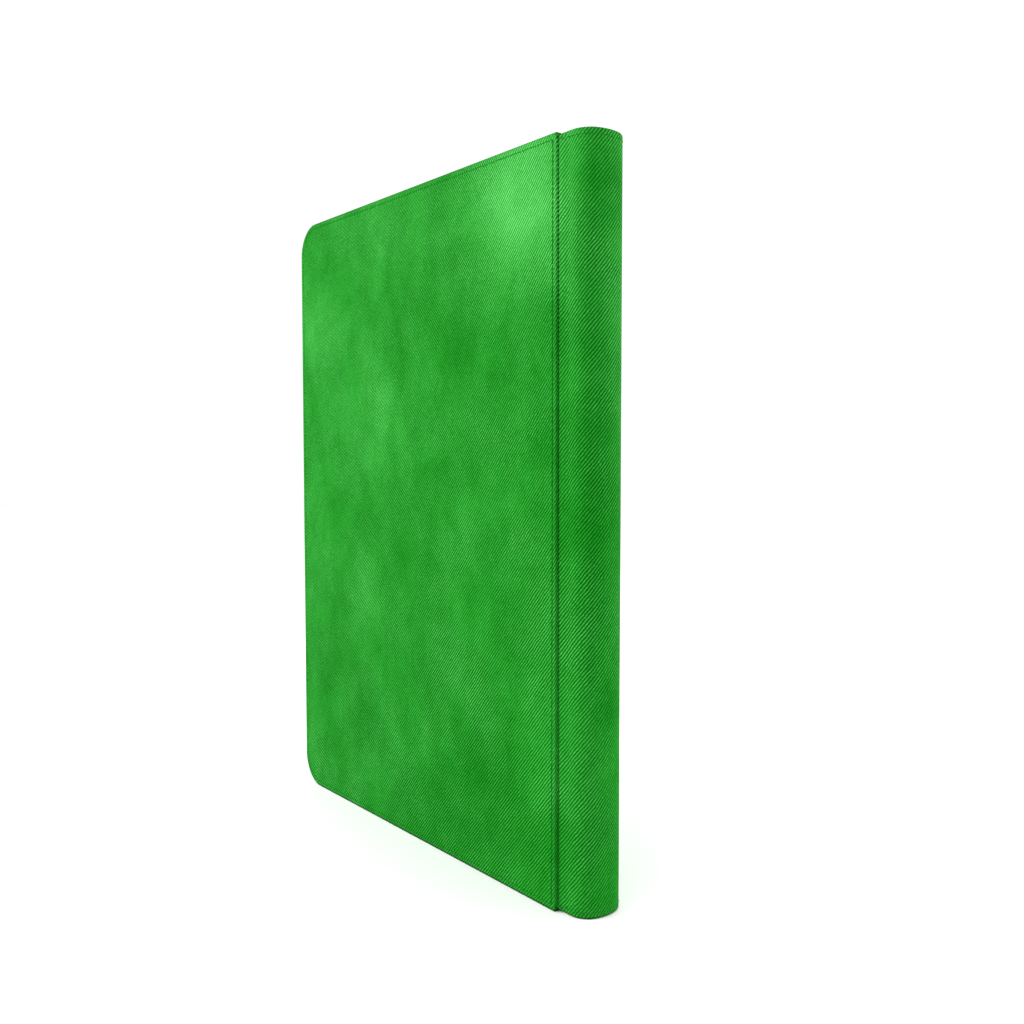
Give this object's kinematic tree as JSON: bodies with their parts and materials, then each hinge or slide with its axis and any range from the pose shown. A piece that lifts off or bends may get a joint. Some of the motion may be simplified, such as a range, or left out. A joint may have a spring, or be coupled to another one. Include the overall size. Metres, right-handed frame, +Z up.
{
  "type": "stamp album",
  "caption": "Hardcover stamp stock album with a rounded spine, stitched green twill covers and hinged stock leaves with clear strips, closed and standing on its tail edge.",
  "frame": {"origin": "middle of the closed album's footprint, on the plane of its tail edge", "axes": "+Z up the spine from tail to head, +X from the fore edge to the spine, +Y out of the front cover, -Y out of the back cover"},
  "size_m": [0.235, 0.0284, 0.305],
  "materials": {
    "twill_leatherette": "bright green coated cloth embossed with a fine diagonal twill, semi-matt",
    "foam": "matt",
    "grey_board": "matt grey board",
    "black_lining": "matt black lining paper",
    "thread": "dark green sewing thread",
    "black_card": "matt black card",
    "clear_film": "clear glossy film",
    "glassine": "translucent glazed paper",
    "hinge_linen": "black woven linen"
  },
  "bodies": {
    "spine": {"spine_skin": "twill_leatherette", "spine_former": "grey_board", "spine_lining": "black_lining", "spine_stitching": "thread", "leaf_stubs": "black_card", "stub_spacers": "black_card", "leaf_hinge_tapes": "hinge_linen", "binding_cloth": "hinge_linen", "back_joint_strip": "hinge_linen", "front_joint_strip": "hinge_linen"},
    "back_cover": {"back_cover_skin": "twill_leatherette", "back_cover_foam_pad": "foam", "back_cover_board": "grey_board", "back_cover_lining": "black_lining", "back_cover_stitching": "thread"},
    "front_cover": {"front_cover_skin": "twill_leatherette", "front_cover_foam_pad": "foam", "front_cover_board": "grey_board", "front_cover_lining": "black_lining", "front_cover_stitching": "thread"},
    "leaf_01": {"leaf_01_card": "black_card", "leaf_01_strips": "clear_film", "interleaf_01": "glassine"},
    "leaf_02": {"leaf_02_card": "black_card", "leaf_02_strips": "clear_film", "interleaf_02": "glassine"},
    "leaf_03": {"leaf_03_card": "black_card", "leaf_03_strips": "clear_film", "interleaf_03": "glassine"},
    "leaf_04": {"leaf_04_card": "black_card", "leaf_04_strips": "clear_film", "interleaf_04": "glassine"},
    "leaf_05": {"leaf_05_card": "black_card", "leaf_05_strips": "clear_film", "interleaf_05": "glassine"},
    "leaf_06": {"leaf_06_card": "black_card", "leaf_06_strips": "clear_film", "interleaf_06": "glassine"},
    "leaf_07": {"leaf_07_card": "black_card", "leaf_07_strips": "clear_film"},
    "leaf_08": {"leaf_08_card": "black_card", "leaf_08_strips": "clear_film", "interleaf_07": "glassine"},
    "leaf_09": {"leaf_09_card": "black_card", "leaf_09_strips": "clear_film", "interleaf_08": "glassine"},
    "leaf_10": {"leaf_10_card": "black_card", "leaf_10_strips": "clear_film", "interleaf_09": "glassine"},
    "leaf_11": {"leaf_11_card": "black_card", "leaf_11_strips": "clear_film", "interleaf_10": "glassine"},
    "leaf_12": {"leaf_12_card": "black_card", "leaf_12_strips": "clear_film", "interleaf_11": "glassine"}
  },
  "joints": [
    {"name": "back_cover_hinge", "type": "hinge", "parent": "spine", "child": "back_cover", "pos_m": [0.10465, -0.0133, 0.1525], "axis": [0, 0, 1], "range_deg": [0, 180]},
    {"name": "front_cover_hinge", "type": "hinge", "parent": "spine", "child": "front_cover", "pos_m": [0.10465, 0.0133, 0.1525], "axis": [0, 0, -1], "range_deg": [0, 180]},
    {"name": "leaf_01_turn", "type": "hinge", "parent": "spine", "child": "leaf_01", "pos_m": [0.08985, 0.00962, 0.1525], "axis": [0, 0, -1], "range_deg": [0, 82.5]},
    {"name": "leaf_02_turn", "type": "hinge", "parent": "spine", "child": "leaf_02", "pos_m": [0.08985, 0.00788, 0.1525], "axis": [0, 0, -1], "range_deg": [0, 67.5]},
    {"name": "leaf_03_turn", "type": "hinge", "parent": "spine", "child": "leaf_03", "pos_m": [0.08985, 0.00613, 0.1525], "axis": [0, 0, -1], "range_deg": [0, 52.5]},
    {"name": "leaf_04_turn", "type": "hinge", "parent": "spine", "child": "leaf_04", "pos_m": [0.08985, 0.00438, 0.1525], "axis": [0, 0, -1], "range_deg": [0, 37.5]},
    {"name": "leaf_05_turn", "type": "hinge", "parent": "spine", "child": "leaf_05", "pos_m": [0.08985, 0.00263, 0.1525], "axis": [0, 0, -1], "range_deg": [0, 22.5]},
    {"name": "leaf_06_turn", "type": "hinge", "parent": "spine", "child": "leaf_06", "pos_m": [0.08985, 0.00088, 0.1525], "axis": [0, 0, -1], "range_deg": [0, 7.5]},
    {"name": "leaf_07_turn", "type": "hinge", "parent": "spine", "child": "leaf_07", "pos_m": [0.08985, -0.00088, 0.1525], "axis": [0, 0, 1], "range_deg": [0, 7.5]},
    {"name": "leaf_08_turn", "type": "hinge", "parent": "spine", "child": "leaf_08", "pos_m": [0.08985, -0.00263, 0.1525], "axis": [0, 0, 1], "range_deg": [0, 22.5]},
    {"name": "leaf_09_turn", "type": "hinge", "parent": "spine", "child": "leaf_09", "pos_m": [0.08985, -0.00438, 0.1525], "axis": [0, 0, 1], "range_deg": [0, 37.5]},
    {"name": "leaf_10_turn", "type": "hinge", "parent": "spine", "child": "leaf_10", "pos_m": [0.08985, -0.00613, 0.1525], "axis": [0, 0, 1], "range_deg": [0, 52.5]},
    {"name": "leaf_11_turn", "type": "hinge", "parent": "spine", "child": "leaf_11", "pos_m": [0.08985, -0.00788, 0.1525], "axis": [0, 0, 1], "range_deg": [0, 67.5]},
    {"name": "leaf_12_turn", "type": "hinge", "parent": "spine", "child": "leaf_12", "pos_m": [0.08985, -0.00962, 0.1525], "axis": [0, 0, 1], "range_deg": [0, 82.5]}
  ],
  "couplings": [
    {"joint": "leaf_01_turn", "follows": "front_cover_hinge", "ratio": 0.45833},
    {"joint": "leaf_02_turn", "follows": "front_cover_hinge", "ratio": 0.375},
    {"joint": "leaf_03_turn", "follows": "front_cover_hinge", "ratio": 0.29167},
    {"joint": "leaf_04_turn", "follows": "front_cover_hinge", "ratio": 0.20833},
    {"joint": "leaf_05_turn", "follows": "front_cover_hinge", "ratio": 0.125},
    {"joint": "leaf_06_turn", "follows": "front_cover_hinge", "ratio": 0.041666},
    {"joint": "leaf_07_turn", "follows": "back_cover_hinge", "ratio": 0.041666},
    {"joint": "leaf_08_turn", "follows": "back_cover_hinge", "ratio": 0.125},
    {"joint": "leaf_09_turn", "follows": "back_cover_hinge", "ratio": 0.20833},
    {"joint": "leaf_10_turn", "follows": "back_cover_hinge", "ratio": 0.29167},
    {"joint": "leaf_11_turn", "follows": "back_cover_hinge", "ratio": 0.375},
    {"joint": "leaf_12_turn", "follows": "back_cover_hinge", "ratio": 0.45833}
  ]
}
